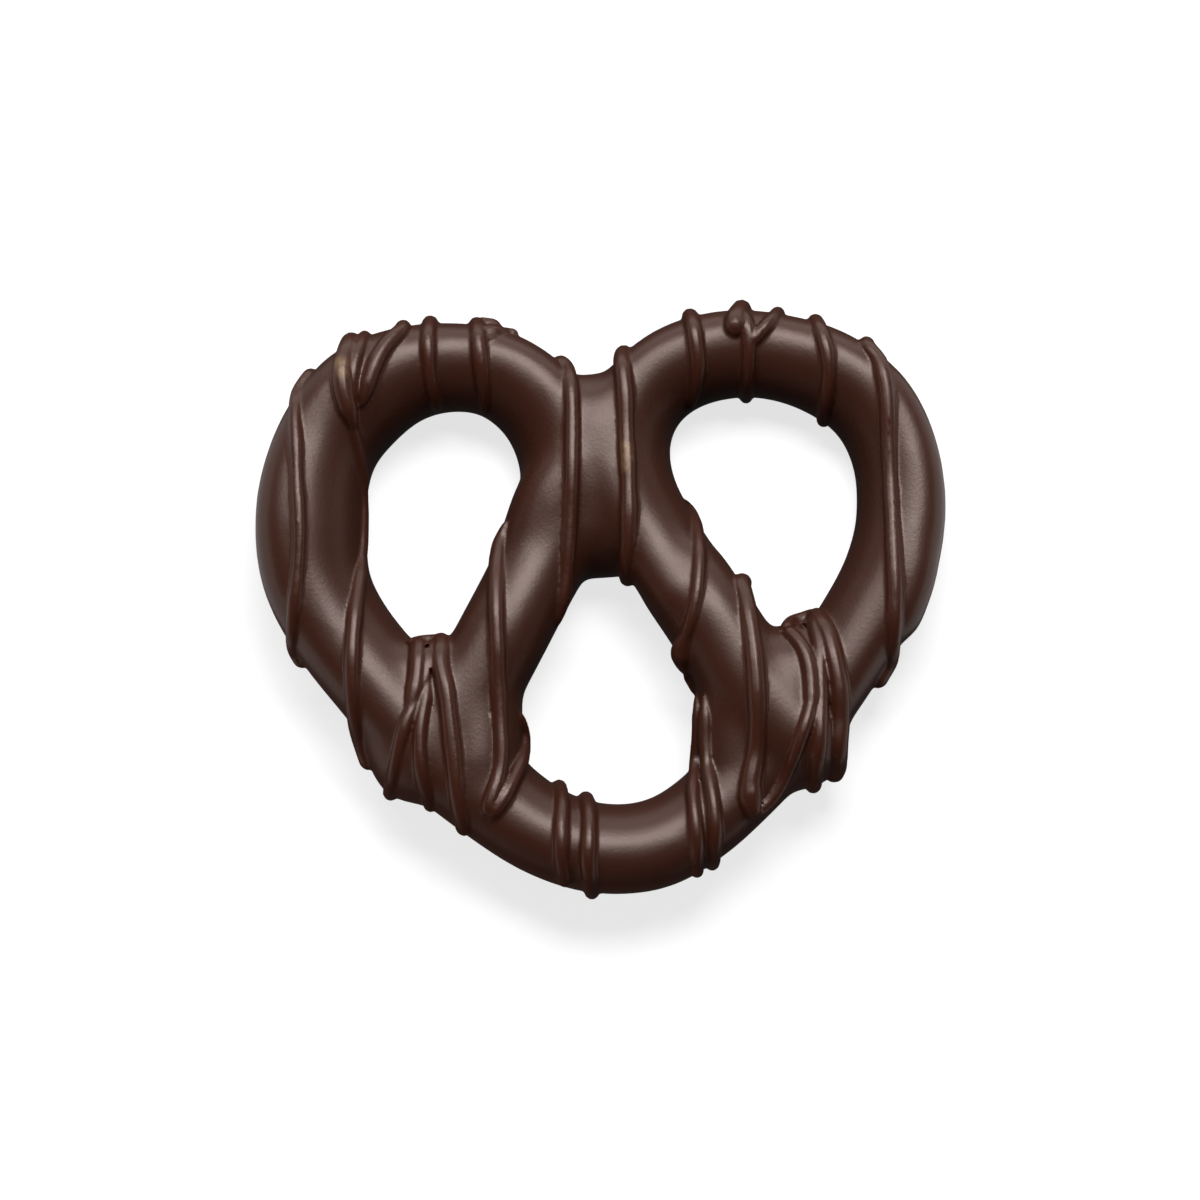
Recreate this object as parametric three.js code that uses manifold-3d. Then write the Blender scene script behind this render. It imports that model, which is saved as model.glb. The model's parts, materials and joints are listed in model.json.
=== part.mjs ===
// A twisted pretzel in a dark chocolate coat with chocolate drizzled across it, fused into one solid.
// Millimetres, +Z up. The flat underside lies on z = 0 and the origin is under the middle of the pretzel.
// +X is to the right and +Y towards the two upper lobes, for a pretzel seen from above.

import * as THREE from 'three';
import Module from 'manifold-3d';

// Driving dimensions
const WIDTH = 76;
const STRAND_RADIUS = 0.8;

// The rope: corners of its section, the distance between sections, and the rise of its ends over the loop
const ROPE_SIDES = 14;
const ROPE_STEP = 3.2;
const ROUND_END_DEGREES = [30, 58, 80];
const END_LIFT = 1.8;
const END_LIFT_REACH = 16;

// The drizzle: how deep a strand's middle lies, how far an end runs down a side, and its narrow tips
const STRAND_SIDES = 6;
const STRAND_STEP = 2.6;
const STRAND_SINK = 0.1;
const DRIP = 1.3;
const DRIP_FLOOR_GAP = 1.3;
const TIP_WIDTH = 0.6;
const DRAPE_STEP = 0.25;
const DRAPE_MIN_GAP = 0.2;

// Edges shorter than this close up where two pieces are joined.
const JOIN_TOLERANCE = 0.005;

// A strand counts as over a side once it is this share of the rope's radius away from the axis.
const RIM = 0.96;

// The underside is flat between the lowest pair of corners of the rope's round section.
const FLAT_HALF_ANGLE = (1.5 * 2 * Math.PI) / ROPE_SIDES;
const SEAT = Math.cos(FLAT_HALF_ANGLE);

// The rope's route from one free end to the other: x, y and radius in hundredths of the width.
const ROUTE = [
  // Left arm, from the end laid on the loop up to the middle
  [-25, -24.5, 6.5], [-19.5, -15.5, 6.6], [-10.5, 2.5, 6.6], [-6.2, 11.5, 6.8], [-5.4, 19.5, 6.5],
  // Left lobe, which is the thicker one
  [-8.6, 28.8, 6.4], [-15, 34, 6.4], [-21.7, 35, 6.5], [-28.5, 33.8, 7], [-34.8, 30, 7.5],
  [-39.4, 24, 7.3], [-41.6, 16.5, 7.7], [-41.9, 9, 8], [-40.9, 2, 7.7], [-37.5, -4.7, 7.5], [-33, -10.7, 7.5],
  // Bottom of the loop
  [-21.5, -24, 7.5], [-15, -30, 7.1], [-7.8, -35, 6.8], [0.3, -37.6, 6.8], [8, -36.9, 6.8],
  [14.5, -33, 6.6], [27.4, -19.2, 6.7],
  // Right lobe
  [38, -3.3, 6.7], [42, 5, 6.7], [43.5, 12.8, 6.5], [42.6, 21.8, 6.2], [39, 29.3, 6.3], [33, 34.2, 6.3],
  [26, 36.6, 6.2], [18.8, 37, 6.4], [11.7, 35, 6.3], [6.4, 30.8, 6.2],
  // Right arm, from the middle down to the end laid on the loop
  [3.6, 24, 6.5], [4.3, 16.5, 6.8], [7.7, 9.8, 6.7], [17.4, -6, 6.7], [22, -14, 6.8], [28.3, -21.3, 6.8],
];

// The route is made as three lengths that meet end to end at the tops of the lobes.
const LEFT_LOBE_TOP = [-21.7, 35];
const RIGHT_LOBE_TOP = [26, 36.6];

// Chocolate in the angles where the rope meets itself: two ends and a radius, in hundredths of the width.
const WEBS = [
  // Notch between the lobes, the middle between the arms, and the arch under it
  { from: [-1.7, 29.3], to: [0.9, 29.3], radius: 4.5 },
  { from: [-0.9, 27], to: [0, 10.5], radius: 6 },
  { from: [-2.3, 8.3], to: [2.6, 8.3], radius: 4.6 },
  // Feet of the left and right openings
  { from: [-27.2, -10.8], to: [-22.3, -10.8], radius: 4.3 },
  { from: [25.2, -9.3], to: [29.6, -7.2], radius: 4.6 },
  // Corners of the lower opening
  { from: [-14.8, -20.5], to: [-14.8, -24], radius: 4.5 },
  { from: [16.2, -13.5], to: [17.5, -21], radius: 3.8 },
  // Outsides of the left and right joints
  { from: [-29.5, -19.6], to: [-27, -24.8], radius: 6.2 },
  { from: [30.8, -20], to: [30.3, -23.8], radius: 5.2 },
];

// The drizzle: x and y along each strand, in hundredths of the width.
const STRANDS = [
  // Left lobe
  [[-43, 33.5], [-44, 27], [-44, 10], [-43.5, 1.5], [-44.5, -10]],
  [[-36.5, 39], [-38, 32], [-35, 20.5], [-34.5, 11.5], [-34.5, 4.5], [-35.5, -15.5], [-34, -25]],
  [[-34.5, 40], [-36, 32.5], [-35.5, 28]],
  [[-28.5, 41.5], [-32, 35], [-34.5, 26.5]],
  [[-24.5, 42.5], [-25, 35.5], [-24, 28.5]],
  [[-18, 42.5], [-17, 33], [-16.5, 28]],
  // Middle
  [[-4.5, 36], [-4, 19.5], [-5, 3.5], [-6.5, -4]],
  [[3, 37], [4, 19.5], [4.5, 6.5], [4, 1.5]],
  // Right lobe
  [[13, 43.5], [14, 34.5], [13.5, 28.5]],
  [[20, 44.5], [21, 37.5], [21, 29.5]],
  [[26, 44], [24.5, 40], [22, 37]],
  [[31, 43], [33.5, 34.5], [32.5, 26.5]],
  [[39, 38.5], [41, 31.5], [42, 20.5], [42, 9], [43, -2.5], [41, -12.5]],
  // Right arm and joint
  [[12, 16.5], [14.5, 7.5], [13.5, -2.5], [10.5, -8.5]],
  [[20.5, 3], [22.5, -7.5], [23, -21], [22.5, -33.5]],
  [[26.5, -4], [30, -12.5], [29, -21], [22.5, -33.5]],
  [[31.5, -2.5], [31.5, -15], [31, -28.5]],
  [[31.5, -2.5], [35, -10.5], [35.5, -19], [34.5, -27.5]],
  // Left arm and joint
  [[-24.5, -8], [-28.5, -21], [-31, -30]],
  [[-25, -12.5], [-26.5, -23.5], [-25, -32]],
  [[-23, -6], [-22, -23.5], [-20, -35]],
  [[-28, -7], [-27.5, -12], [-28, -16.5]],
  [[-13, 14.5], [-15.5, -4.5], [-14.5, -25.5], [-16.5, -35]],
  [[-10.5, -20], [-12, -28], [-15.5, -35]],
  // Bottom of the loop
  [[-6, -27.5], [-5.5, -34], [-5, -43]],
  [[-2, -29.5], [-1.5, -36.5], [-1, -44.5]],
  [[14.5, -15.5], [14, -30], [14, -41.5]],
  [[15.5, -15], [15, -22], [16, -41]],
];

// Thick spots in the drizzle: a pool on the left lobe, a flake at its top and a bead on the right lobe.
const POOLS = [
  { from: [-37.6, 34.5], to: [-37.6, 29], radius: 1.2 },
  { from: [-17.2, 41.2], to: [-13, 39.8], radius: 1.3 },
  { from: [20, 43.5], to: [20, 39.5], radius: 1.1 },
];

const MATERIAL = new THREE.MeshStandardMaterial({ color: 0x3d2420, roughness: 0.38, metalness: 0 });

const wasm = await Module();
wasm.setup();

function millimetres(hundredths) {
  return (hundredths * WIDTH) / 100;
}

// A closed solid from rings of points in order along a tube, with a flat fan over each end.
function tube(rings) {
  const sides = rings[0].length;
  const points = rings.flat();
  const triangles = [];
  for (let ring = 0; ring + 1 < rings.length; ring += 1) {
    for (let side = 0; side < sides; side += 1) {
      const near = ring * sides + side;
      const next = ring * sides + ((side + 1) % sides);
      triangles.push(near, next, near + sides, next, next + sides, near + sides);
    }
  }
  const last = (rings.length - 1) * sides;
  for (let side = 1; side + 1 < sides; side += 1) {
    triangles.push(0, side + 1, side);
    triangles.push(last, last + side, last + side + 1);
  }
  const mesh = new wasm.Mesh({
    numProp: 3,
    vertProperties: new Float32Array(points.flatMap((point) => point.toArray())),
    triVerts: new Uint32Array(triangles),
    tolerance: JOIN_TOLERANCE,
  });
  return new wasm.Manifold(mesh);
}

// The rope's section round a point of its axis: round, with its four lowest corners on the flat underside.
function ropeRing(axis, tangent, radius) {
  const across = new THREE.Vector3(-tangent.y, tangent.x, 0);
  const ring = [];
  for (let side = 0; side < ROPE_SIDES; side += 1) {
    const angle = ((side + 0.5) / ROPE_SIDES) * 2 * Math.PI;
    const fromLowest = Math.abs(angle - 1.5 * Math.PI);
    const point = axis.clone().addScaledVector(across, Math.cos(angle) * radius);
    point.z = fromLowest < 1.01 * FLAT_HALF_ANGLE ? 0 : axis.z + Math.sin(angle) * radius;
    ring.push(point);
  }
  return ring;
}

// Rings that round off an end of the rope, from the axis outwards along the given direction.
function ropeEnd(axis, outwards, tangent, radius) {
  return ROUND_END_DEGREES.map((degrees) => {
    const angle = THREE.MathUtils.degToRad(degrees);
    const centre = axis.clone().addScaledVector(outwards, Math.sin(angle) * radius);
    return ropeRing(centre, tangent, Math.cos(angle) * radius);
  });
}

// The rope's samples: the axis point, the direction along it and the radius.
function ropeSamples(spacing) {
  const stations = ROUTE.map((row) => new THREE.Vector3(...row.map(millimetres)));
  const route = new THREE.CatmullRomCurve3(stations);
  const length = route.getLength();
  const count = Math.round(length / spacing);
  const samples = [];
  for (let step = 0; step <= count; step += 1) {
    const station = route.getPointAt(step / count);
    const tangent = route.getTangentAt(step / count).setZ(0).normalize();
    const fromEnd = (Math.min(step, count - step) / count) * length;
    const lift = END_LIFT * (1 - THREE.MathUtils.smoothstep(fromEnd, 0, END_LIFT_REACH));
    const axis = new THREE.Vector3(station.x, station.y, station.z * SEAT + lift);
    samples.push({ axis, tangent, radius: station.z });
  }
  return samples;
}

function nearestIndex(samples, [x, y]) {
  const distances = samples.map(({ axis }) => Math.hypot(axis.x - millimetres(x), axis.y - millimetres(y)));
  return distances.indexOf(Math.min(...distances));
}

// A short straight length of the rope's section with both ends rounded.
function webSamples({ from, to, radius }) {
  const start = new THREE.Vector3(...from.map(millimetres), 0);
  const end = new THREE.Vector3(...to.map(millimetres), 0);
  const tangent = end.clone().sub(start).normalize();
  return [start, end].map((axis) => {
    axis.z = millimetres(radius) * SEAT;
    return { axis, tangent, radius: millimetres(radius) };
  });
}

function ropeLength(samples, { roundStart = false, roundEnd = false } = {}) {
  const rings = samples.map(({ axis, tangent, radius }) => ropeRing(axis, tangent, radius));
  if (roundStart) {
    const { axis, tangent, radius } = samples[0];
    rings.unshift(...ropeEnd(axis, tangent.clone().negate(), tangent, radius).reverse());
  }
  if (roundEnd) {
    const { axis, tangent, radius } = samples.at(-1);
    rings.push(...ropeEnd(axis, tangent, tangent, radius));
  }
  return tube(rings);
}

// Where a strand over a plan position lies: on the highest rope there, or on the rim of the nearest one.
function restingPoint(samples, plan) {
  const reach = ({ axis, radius }) => Math.hypot(plan.x - axis.x, plan.y - axis.y) / radius;
  const under = samples.filter((sample) => reach(sample) < RIM);
  if (under.length > 0) {
    const heights = under.map((sample) => sample.axis.z + sample.radius * Math.sqrt(1 - reach(sample) ** 2));
    return new THREE.Vector3(plan.x, plan.y, Math.max(...heights));
  }
  const nearest = samples.reduce((best, sample) => (reach(sample) < reach(best) ? sample : best));
  const outwards = new THREE.Vector3(plan.x - nearest.axis.x, plan.y - nearest.axis.y, 0).normalize();
  const point = nearest.axis.clone().addScaledVector(outwards, nearest.radius * RIM);
  point.z += nearest.radius * Math.sqrt(1 - RIM ** 2);
  return point;
}

// The line of a strand's middle: laid over the rope, with each end running a little way down a side.
function drape(samples, plan) {
  const points = plan.map(([x, y]) => new THREE.Vector3(millimetres(x), millimetres(y), 0));
  const route = new THREE.CatmullRomCurve3(points);
  const count = Math.ceil(route.getLength() / DRAPE_STEP);
  const line = [];
  for (const point of route.getSpacedPoints(count)) {
    const resting = restingPoint(samples, point);
    if (line.length === 0 || resting.distanceTo(line.at(-1)) > DRAPE_MIN_GAP) {
      line.push(resting);
    }
  }
  const below = (point) => point.clone().setZ(Math.max(point.z - DRIP, DRIP_FLOOR_GAP));
  line.unshift(below(line[0]));
  line.push(below(line.at(-1)));
  line.forEach((point) => {
    point.z -= STRAND_SINK;
  });
  return new THREE.CatmullRomCurve3(line);
}

// A round strand along a curve, drawn in at both ends.
function strand(curve, radius) {
  const count = Math.max(3, Math.round(curve.getLength() / STRAND_STEP));
  const frames = curve.computeFrenetFrames(count);
  const rings = [];
  for (let step = 0; step <= count; step += 1) {
    const centre = curve.getPointAt(step / count);
    const width = step === 0 || step === count ? radius * TIP_WIDTH : radius;
    const ring = [];
    for (let side = 0; side < STRAND_SIDES; side += 1) {
      const angle = (side / STRAND_SIDES) * 2 * Math.PI;
      ring.push(
        centre
          .clone()
          .addScaledVector(frames.normals[step], Math.cos(angle) * width)
          .addScaledVector(frames.binormals[step], Math.sin(angle) * width),
      );
    }
    rings.push(ring);
  }
  return tube(rings);
}

// The largest closed surface alone, so that a pocket sealed under crossing strands is filled with chocolate.
function outerShell(solid) {
  return solid.decompose().reduce((largest, shell) => (shell.volume() > largest.volume() ? shell : largest));
}

function coatedPretzel() {
  const rope = ropeSamples(ROPE_STEP);
  const leftTop = nearestIndex(rope, LEFT_LOBE_TOP);
  const rightTop = nearestIndex(rope, RIGHT_LOBE_TOP);
  const webs = WEBS.map(webSamples);
  const lengths = [
    ropeLength(rope.slice(0, leftTop + 1), { roundStart: true }),
    ropeLength(rope.slice(leftTop, rightTop + 1)),
    ropeLength(rope.slice(rightTop), { roundEnd: true }),
  ];
  const fillets = webs.map((web) => ropeLength(web, { roundStart: true, roundEnd: true }));
  const under = [...ropeSamples(DRAPE_STEP), ...webs.flat()];
  const strands = STRANDS.map((plan) => strand(drape(under, plan), STRAND_RADIUS));
  const pools = POOLS.map(({ from, to, radius }) => strand(drape(under, [from, to]), radius));
  const fused = [...lengths, ...fillets, ...strands, ...pools].reduce((joined, piece) => joined.add(piece));
  const { vertProperties, triVerts } = outerShell(fused).getMesh();
  const geometry = new THREE.BufferGeometry();
  geometry.setAttribute('position', new THREE.BufferAttribute(vertProperties, 3));
  geometry.setIndex(new THREE.BufferAttribute(triVerts, 1));
  geometry.computeBoundingBox();
  const middle = geometry.boundingBox.getCenter(new THREE.Vector3());
  geometry.translate(-middle.x, -middle.y, -geometry.boundingBox.min.z);
  geometry.computeVertexNormals();
  return geometry;
}

const pretzel = new THREE.Mesh(coatedPretzel(), MATERIAL);
pretzel.name = 'coated_pretzel';

const group = new THREE.Group();
group.add(pretzel);

export default group;
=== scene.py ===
# %% [markdown]
# # A chocolate-coated pretzel
# The real thing is a crisp rope of dough, twisted into three rings, dipped in dark chocolate and then
# drizzled with thin strands of the same chocolate. This lesson models it as a confectioner would make it:
# first the rope, then the coat that rounds every corner, then the drizzle that is laid over the coat and
# melts into it. The exact solid is loaded first, because everything here sits in its frame, in metres.

# %% Load the frame
import json
import math

import bpy
from mathutils import Euler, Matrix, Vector, noise
from mathutils.bvhtree import BVHTree
from mathutils.geometry import interpolate_bezier

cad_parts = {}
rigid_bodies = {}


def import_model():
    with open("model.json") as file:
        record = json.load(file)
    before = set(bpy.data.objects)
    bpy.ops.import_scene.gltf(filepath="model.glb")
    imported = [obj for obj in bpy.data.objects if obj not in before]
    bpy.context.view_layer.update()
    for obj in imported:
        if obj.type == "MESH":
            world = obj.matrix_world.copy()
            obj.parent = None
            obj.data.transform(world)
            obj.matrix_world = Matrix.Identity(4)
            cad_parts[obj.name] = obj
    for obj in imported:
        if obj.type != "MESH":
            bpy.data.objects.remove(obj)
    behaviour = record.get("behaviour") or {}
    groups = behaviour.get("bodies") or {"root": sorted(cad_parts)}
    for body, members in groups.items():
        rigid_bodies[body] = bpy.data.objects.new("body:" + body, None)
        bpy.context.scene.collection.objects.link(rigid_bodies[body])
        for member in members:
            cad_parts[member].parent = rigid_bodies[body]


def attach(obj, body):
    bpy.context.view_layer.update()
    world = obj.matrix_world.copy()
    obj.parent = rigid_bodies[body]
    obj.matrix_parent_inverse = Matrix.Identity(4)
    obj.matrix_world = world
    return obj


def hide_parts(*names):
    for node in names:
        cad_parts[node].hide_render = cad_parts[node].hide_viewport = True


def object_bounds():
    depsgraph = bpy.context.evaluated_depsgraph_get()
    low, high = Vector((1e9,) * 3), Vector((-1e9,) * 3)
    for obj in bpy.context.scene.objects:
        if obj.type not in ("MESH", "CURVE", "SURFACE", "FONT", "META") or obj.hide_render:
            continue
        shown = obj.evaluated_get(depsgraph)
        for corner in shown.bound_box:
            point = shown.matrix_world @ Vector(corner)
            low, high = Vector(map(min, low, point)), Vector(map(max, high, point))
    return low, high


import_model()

cad_low, cad_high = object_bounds()
cad_size = [high - low for low, high in zip(cad_low, cad_high)]
print("the solid measures", [round(side * 1000, 1) for side in cad_size], "mm")

# %% [markdown]
# ## Sizes
# One size drives the others: the width of the pretzel. The rope's route is written in hundredths of that
# width, so it reads like a drawing on squared paper. The rope lies on a flat underside, so its axis is a
# little lower than its radius above the table.

# %% Sizes
MM = 0.001
WIDTH = 76 * MM
HUNDREDTH = WIDTH / 100
SEAT = 0.78
ROUTE_MIDDLE = Vector((-0.04 * MM, 0.26 * MM, 0))
AXIS_HEIGHT = 4.1 * MM
print("one hundredth of the width is", round(HUNDREDTH / MM, 3), "mm")

# %% [markdown]
# ## The camera
# The picture looks down steeply from the front, with a long lens that keeps the two lobes the same size. The
# camera comes first because the drizzle is placed by where each strand is seen: a pixel of the picture is a
# line of sight, and the strand lies where that line meets the coat.

# %% Camera
PICTURE_PIXELS = 1200
PRETZEL_PIXELS = 690
PIXEL = WIDTH / PRETZEL_PIXELS
VIEW_ELEVATION = math.radians(75)
VIEW_DISTANCE = 0.9
SENSOR = 36 * MM
AIM_BELOW_MIDDLE = 0.12 * MM
NEAR_LIMIT = 10 * MM

view_target = ROUTE_MIDDLE + Vector((0, -AIM_BELOW_MIDDLE, AXIS_HEIGHT))
view_back = Vector((0, -math.cos(VIEW_ELEVATION), math.sin(VIEW_ELEVATION)))
view_right = Vector((1, 0, 0))
view_up = view_back.cross(view_right)
view_eye = view_target + view_back * VIEW_DISTANCE

bpy.ops.object.select_all(action='DESELECT')
bpy.ops.object.camera_add(location=view_eye, rotation=(math.pi / 2 - VIEW_ELEVATION, 0, 0))
camera = bpy.context.object
camera.name = "picture_camera"
camera.data.sensor_width = SENSOR / MM
camera.data.lens = SENSOR / MM * VIEW_DISTANCE / (PICTURE_PIXELS * PIXEL)
camera.data.clip_start = NEAR_LIMIT
bpy.context.scene.camera = camera
print("lens of", round(camera.data.lens), "mm at", VIEW_DISTANCE, "m")

# %% [markdown]
# ## Curves through points
# Both the rope and the drizzle follow smooth lines through a few given points. A Catmull-Rom curve
# passes through every point, and its centripetal form never loops or overshoots between uneven ones. Blender
# can draw it as Bezier pieces once the handles are worked out from the neighbouring points.

# %% Smooth lines
POINTS_BETWEEN = 33
LEAST_GAP = 1e-9


def smooth_line(points, spacing):
    """Points an even distance apart along a centripetal Catmull-Rom curve through the given ones."""
    points = [2 * points[0] - points[1], *points, 2 * points[-1] - points[-2]]
    fine = [points[1]]
    for before, start, end, after in zip(points, points[1:], points[2:], points[3:]):
        gaps = ((before, start), (start, end), (end, after))
        a, b, c = [max((q - p).length, LEAST_GAP) ** 0.5 for p, q in gaps]
        leave = (a * a * end - b * b * before + (2 * a * a + 3 * a * b + b * b) * start) / (3 * a * (a + b))
        reach = (c * c * start - b * b * after + (2 * c * c + 3 * c * b + b * b) * end) / (3 * c * (c + b))
        fine += interpolate_bezier(start, leave, reach, end, POINTS_BETWEEN)[1:]
    lengths = [0.0]
    for here, there in zip(fine, fine[1:]):
        lengths.append(lengths[-1] + (there - here).length)
    count = max(2, round(lengths[-1] / spacing))
    line, piece = [], 0
    for step in range(count + 1):
        wanted = lengths[-1] * step / count
        while piece < len(fine) - 2 and lengths[piece + 1] < wanted:
            piece += 1
        share = (wanted - lengths[piece]) / (lengths[piece + 1] - lengths[piece])
        line.append(fine[piece].lerp(fine[piece + 1], min(max(share, 0), 1)))
    return line


# %% [markdown]
# ## The rope's route
# One rope makes all three rings. It starts at a free end on the lower left, runs up the left arm to the
# middle, round the left lobe, along the bottom, round the right lobe, and back down the right arm. The third
# number of each station is the rope's radius there: hand-rolled dough is thicker on the left.

# %% Route
ROUTE = [
    # Left arm, from the end laid on the loop up to the middle
    (-25, -24.5, 6.5), (-19.1, -15.6, 6.5), (-10.1, 2.3, 6.5), (-6.1, 11.5, 6.7), (-5.1, 19.5, 6.4),
    # Left lobe, which is the thicker one
    (-8.4, 28.8, 6.3), (-15, 34.2, 6.2), (-21.7, 35.2, 6.3), (-28.5, 33.9, 6.8), (-34.8, 30, 7.5),
    (-39.4, 24, 7.3), (-41.6, 16.5, 7.7), (-41.9, 9, 8), (-40.9, 2, 7.7), (-37.5, -4.7, 7.5),
    (-33, -10.7, 7.5),
    # Bottom of the loop
    (-21.5, -24, 7.5), (-15, -29.8, 7.1), (-7.8, -34.7, 6.8), (0.3, -37.2, 6.8), (8, -36.5, 6.8),
    (14.5, -32.6, 6.6), (27.4, -19.2, 6.6),
    # Right lobe
    (38, -3.3, 6.6), (42.2, 5, 6.6), (43.8, 12.8, 6.4), (43, 21.9, 6.2), (39.4, 29.5, 6.2), (33.2, 34.3, 6.2),
    (26, 36.8, 6), (18.8, 37.2, 6.2), (11.7, 35.2, 6.2), (6.4, 30.8, 6.2),
    # Right arm, from the middle down to the end laid on the loop
    (3.6, 24, 6.5), (4.3, 16.5, 6.8), (7.7, 9.8, 6.7), (17.4, -6, 6.7), (22, -14, 6.8), (28.3, -21.3, 6.8),
]
ROPE_STEP = 2 * MM
END_LIFT = 1.8 * MM
END_LEVEL = 15 * MM
END_SLOPE = 15 * MM
COAT_THICKENING = 0.13 * MM


def ropes_axis():
    """Stations along the rope: a point of its axis, and the radius there with the coat's extra."""
    stations = [Vector(station) * HUNDREDTH for station in ROUTE]
    line = smooth_line(stations, ROPE_STEP)
    axis = []
    for number, station in enumerate(line):
        from_end = min(number, len(line) - 1 - number) * ROPE_STEP
        share = min(max((from_end - END_LEVEL) / END_SLOPE, 0), 1)
        lift = END_LIFT * (1 - share * share * (3 - 2 * share))
        place = Vector((station.x, station.y, station.z * SEAT + lift)) + ROUTE_MIDDLE
        axis.append((place, station.z + COAT_THICKENING))
    return axis


rope_axis = ropes_axis()
print("the rope has", len(rope_axis), "stations along", round(ROPE_STEP * (len(rope_axis) - 1) / MM), "mm")

# %% [markdown]
# ## Extruding a rope
# A rope could be a curve with a round bevel, but then its radius could not change along the way without more
# handles. Here a filled circle stands across the start, and is extruded from station to station. Each new
# ring is turned to face along the route and resized to the rope's radius there. A rounded end is just a few
# more rings that shrink as a sphere does. A lean raises one side of each ring and lowers the other, so that
# the outline seen from above stays as it was.

# %% Rope tool
ROPE_SIDES = 28
ROUND_END = [math.radians(degrees) for degrees in (22, 42, 60, 76, 86)]


def heading(start, end):
    """The angle, seen from above, of the way from one place to another."""
    return math.atan2(end.y - start.y, end.x - start.x)


def rounded(axis):
    """The same stations with shrinking ones added beyond both ends."""
    caps = []
    for (end, radius), (inner, _) in ((axis[0], axis[1]), (axis[-1], axis[-2])):
        outwards = Vector((end.x - inner.x, end.y - inner.y, 0)).normalized()
        caps.append([(end + outwards * radius * math.sin(a), radius * math.cos(a)) for a in ROUND_END])
    return caps[0][::-1] + axis + caps[1]


def extrude_rope(name, axis, lean_of_top=0, lean_of_bottom=0, lean_of_sides=0):
    """A closed rope along stations of (point, radius). Its right side is raised by a share of its width: one
    share where it runs left along the top, one along the bottom and one up and down the sides."""
    places = [place for place, _ in axis]
    facing = [heading(places[max(i - 1, 0)], places[min(i + 1, len(places) - 1)]) for i in range(len(places))]
    bpy.ops.object.select_all(action='DESELECT')
    bpy.ops.mesh.primitive_circle_add(
        vertices=ROPE_SIDES, radius=axis[0][1], fill_type='NGON',
        location=places[0], rotation=(math.pi / 2, 0, facing[0] + math.pi / 2))
    rope = bpy.context.object
    rope.name = name
    bpy.ops.object.transform_apply(location=True, rotation=True, scale=True)
    bpy.ops.object.mode_set(mode='EDIT')
    bpy.ops.mesh.select_all(action='SELECT')
    for i in range(1, len(axis)):
        turn = (facing[i] - facing[i - 1] + math.pi) % (2 * math.pi) - math.pi
        grow = axis[i][1] / axis[i - 1][1]
        bpy.ops.mesh.extrude_region_move(TRANSFORM_OT_translate={"value": places[i] - places[i - 1]})
        bpy.ops.transform.rotate(value=-turn, orient_axis='Z', center_override=places[i])
        bpy.ops.transform.resize(value=(grow, grow, grow), center_override=places[i])
    bpy.ops.mesh.select_all(action='SELECT')
    bpy.ops.mesh.normals_make_consistent(inside=False)
    bpy.ops.object.mode_set(mode='OBJECT')
    for number, vertex in enumerate(rope.data.vertices):
        ring = number // ROPE_SIDES
        along = facing[ring]
        beside = (vertex.co - places[ring]).dot(Vector((math.sin(along), -math.cos(along), 0)))
        to_bottom = (1 + math.cos(along)) / 2
        lean = lean_of_top + (lean_of_bottom - lean_of_top) * to_bottom
        vertex.co.z += beside * (lean + (lean_of_sides - lean) * math.sin(along) ** 2)
    return rope


# %% [markdown]
# ## The rope
# The rope could be extruded in one go, but its parts stand differently. The coat is fuller on the outside of
# each ring of the pretzel, where it ran while it was still warm, so the loop and the lobes lean outwards. The
# two arms with the free ends lie on top of the loop, and stand upright there. Neighbours overlap by a little.

# %% Rope
LEFT_ARM_STATIONS = 17
RIGHT_ARM_STATIONS = 10
OVERLAP = 2
LEAN_OF_TOP = 0.13
LEAN_OF_BOTTOM = 0.28
LEAN_OF_SIDES = 0.32

dough = [
    extrude_rope("left_arm_rope", rounded(rope_axis[:LEFT_ARM_STATIONS + OVERLAP])),
    extrude_rope(
        "rope", rounded(rope_axis[LEFT_ARM_STATIONS:-RIGHT_ARM_STATIONS]),
        LEAN_OF_TOP, LEAN_OF_BOTTOM, LEAN_OF_SIDES),
    extrude_rope("right_arm_rope", rounded(rope_axis[-RIGHT_ARM_STATIONS - OVERLAP:])),
]
print("the rope has", sum(len(length.data.polygons) for length in dough), "faces")

# %% [markdown]
# ## Chocolate in the corners
# Where the rope meets itself, melted chocolate runs into the angle and sets there as a web. Each web is a
# short fat length of rope laid in the corner, with the height of its crest as the third number of each
# point. The fusing step below blends a web with its neighbours, so only its place and size matter.

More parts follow.
